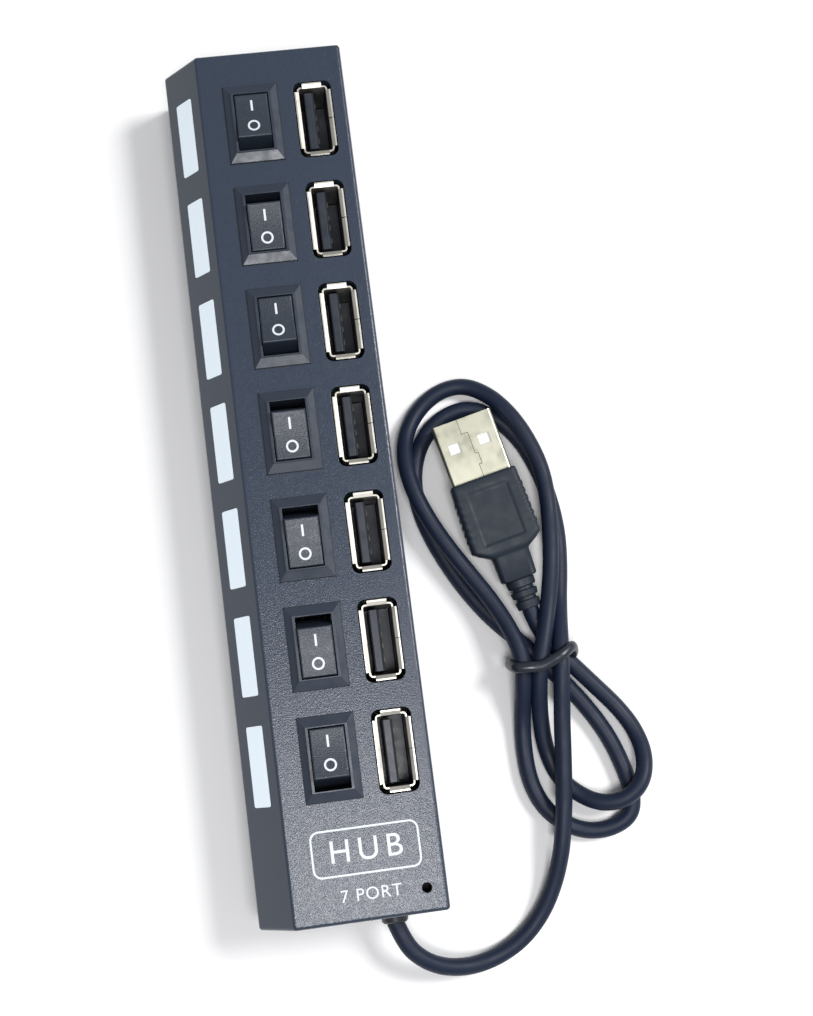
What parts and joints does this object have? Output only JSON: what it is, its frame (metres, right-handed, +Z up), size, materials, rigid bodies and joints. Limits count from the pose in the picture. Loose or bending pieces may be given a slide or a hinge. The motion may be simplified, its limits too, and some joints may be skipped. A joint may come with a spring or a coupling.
{
  "type": "usb hub",
  "caption": "Long flat desk hub with a column of upright type A sockets, a rocker switch and lit window beside each, and a tied cord with a plug.",
  "frame": {"origin": "centre of the case's underside, on the surface that the hub lies on", "axes": "+Z up out of the sockets, +Y along the case away from the cord, +X from the switches towards the sockets"},
  "size_m": [0.0767, 0.1752, 0.0245],
  "materials": {
    "case": "fine spark-eroded matt texture",
    "switch": "satin",
    "window": "milky, slightly clear",
    "shell": "nickel plated sheet",
    "insulator": "satin",
    "plug_core": "white, satin",
    "contact": "gold flash",
    "steel": "zinc plated",
    "board": "solder resist",
    "chip": "moulded",
    "led": "clear lens",
    "wire": "insulated wire",
    "rubber": "satin",
    "cord": "satin soft vinyl",
    "grip": "satin soft vinyl"
  },
  "bodies": {
    "case": {"top_cover": "case", "bottom_cover": "case", "cover_screws": "steel", "board_screws": "steel", "circuit_board": "board", "hub_controllers": "chip", "crystal": "steel", "capacitors": "steel", "indicator_leds": "led", "status_led": "led", "light_guide": "window", "port_contacts": "contact", "switch_terminals": "contact", "cable_wires": "wire", "strain_relief": "rubber", "cord_lead": "cord", "cord_hank": "cord", "cord_tail": "cord", "cord_tie": "rubber", "plug_grip": "grip", "plug_shell": "shell", "plug_insulator": "plug_core", "plug_contacts": "contact", "port_shell_1": "shell", "port_insulator_1": "insulator", "switch_housing_1": "switch", "port_shell_2": "shell", "port_insulator_2": "insulator", "switch_housing_2": "switch", "port_shell_3": "shell", "port_insulator_3": "insulator", "switch_housing_3": "switch", "port_shell_4": "shell", "port_insulator_4": "insulator", "switch_housing_4": "switch", "port_shell_5": "shell", "port_insulator_5": "insulator", "switch_housing_5": "switch", "port_shell_6": "shell", "port_insulator_6": "insulator", "switch_housing_6": "switch", "port_shell_7": "shell", "port_insulator_7": "insulator", "switch_housing_7": "switch"},
    "rocker_1": {"switch_rocker_1": "switch"},
    "lever_1": {"switch_lever_1": "contact"},
    "rocker_2": {"switch_rocker_2": "switch"},
    "lever_2": {"switch_lever_2": "contact"},
    "rocker_3": {"switch_rocker_3": "switch"},
    "lever_3": {"switch_lever_3": "contact"},
    "rocker_4": {"switch_rocker_4": "switch"},
    "lever_4": {"switch_lever_4": "contact"},
    "rocker_5": {"switch_rocker_5": "switch"},
    "lever_5": {"switch_lever_5": "contact"},
    "rocker_6": {"switch_rocker_6": "switch"},
    "lever_6": {"switch_lever_6": "contact"},
    "rocker_7": {"switch_rocker_7": "switch"},
    "lever_7": {"switch_lever_7": "contact"}
  },
  "joints": [
    {"name": "rocker_1_tilt", "type": "hinge", "parent": "case", "child": "rocker_1", "pos_m": [-0.00095, 0.0661, 0.0169], "axis": [1, 0, 0], "range_deg": [0, 16]},
    {"name": "lever_1_tilt", "type": "hinge", "parent": "case", "child": "lever_1", "pos_m": [-0.00095, 0.0661, 0.0114], "axis": [1, 0, 0], "range_deg": [-16, 0]},
    {"name": "rocker_2_tilt", "type": "hinge", "parent": "case", "child": "rocker_2", "pos_m": [-0.00095, 0.04645, 0.0169], "axis": [1, 0, 0], "range_deg": [-16, 0]},
    {"name": "lever_2_tilt", "type": "hinge", "parent": "case", "child": "lever_2", "pos_m": [-0.00095, 0.04645, 0.0114], "axis": [1, 0, 0], "range_deg": [0, 16]},
    {"name": "rocker_3_tilt", "type": "hinge", "parent": "case", "child": "rocker_3", "pos_m": [-0.00095, 0.0268, 0.0169], "axis": [1, 0, 0], "range_deg": [0, 16]},
    {"name": "lever_3_tilt", "type": "hinge", "parent": "case", "child": "lever_3", "pos_m": [-0.00095, 0.0268, 0.0114], "axis": [1, 0, 0], "range_deg": [-16, 0]},
    {"name": "rocker_4_tilt", "type": "hinge", "parent": "case", "child": "rocker_4", "pos_m": [-0.00095, 0.00715, 0.0169], "axis": [1, 0, 0], "range_deg": [-16, 0]},
    {"name": "lever_4_tilt", "type": "hinge", "parent": "case", "child": "lever_4", "pos_m": [-0.00095, 0.00715, 0.0114], "axis": [1, 0, 0], "range_deg": [0, 16]},
    {"name": "rocker_5_tilt", "type": "hinge", "parent": "case", "child": "rocker_5", "pos_m": [-0.00095, -0.0125, 0.0169], "axis": [1, 0, 0], "range_deg": [-16, 0]},
    {"name": "lever_5_tilt", "type": "hinge", "parent": "case", "child": "lever_5", "pos_m": [-0.00095, -0.0125, 0.0114], "axis": [1, 0, 0], "range_deg": [0, 16]},
    {"name": "rocker_6_tilt", "type": "hinge", "parent": "case", "child": "rocker_6", "pos_m": [-0.00095, -0.03215, 0.0169], "axis": [1, 0, 0], "range_deg": [-16, 0]},
    {"name": "lever_6_tilt", "type": "hinge", "parent": "case", "child": "lever_6", "pos_m": [-0.00095, -0.03215, 0.0114], "axis": [1, 0, 0], "range_deg": [0, 16]},
    {"name": "rocker_7_tilt", "type": "hinge", "parent": "case", "child": "rocker_7", "pos_m": [-0.00095, -0.0518, 0.0169], "axis": [1, 0, 0], "range_deg": [0, 16]},
    {"name": "lever_7_tilt", "type": "hinge", "parent": "case", "child": "lever_7", "pos_m": [-0.00095, -0.0518, 0.0114], "axis": [1, 0, 0], "range_deg": [-16, 0]}
  ],
  "couplings": [
    {"joint": "lever_1_tilt", "follows": "rocker_1_tilt", "ratio": -1},
    {"joint": "lever_2_tilt", "follows": "rocker_2_tilt", "ratio": -1},
    {"joint": "lever_3_tilt", "follows": "rocker_3_tilt", "ratio": -1},
    {"joint": "lever_4_tilt", "follows": "rocker_4_tilt", "ratio": -1},
    {"joint": "lever_5_tilt", "follows": "rocker_5_tilt", "ratio": -1},
    {"joint": "lever_6_tilt", "follows": "rocker_6_tilt", "ratio": -1},
    {"joint": "lever_7_tilt", "follows": "rocker_7_tilt", "ratio": -1}
  ]
}
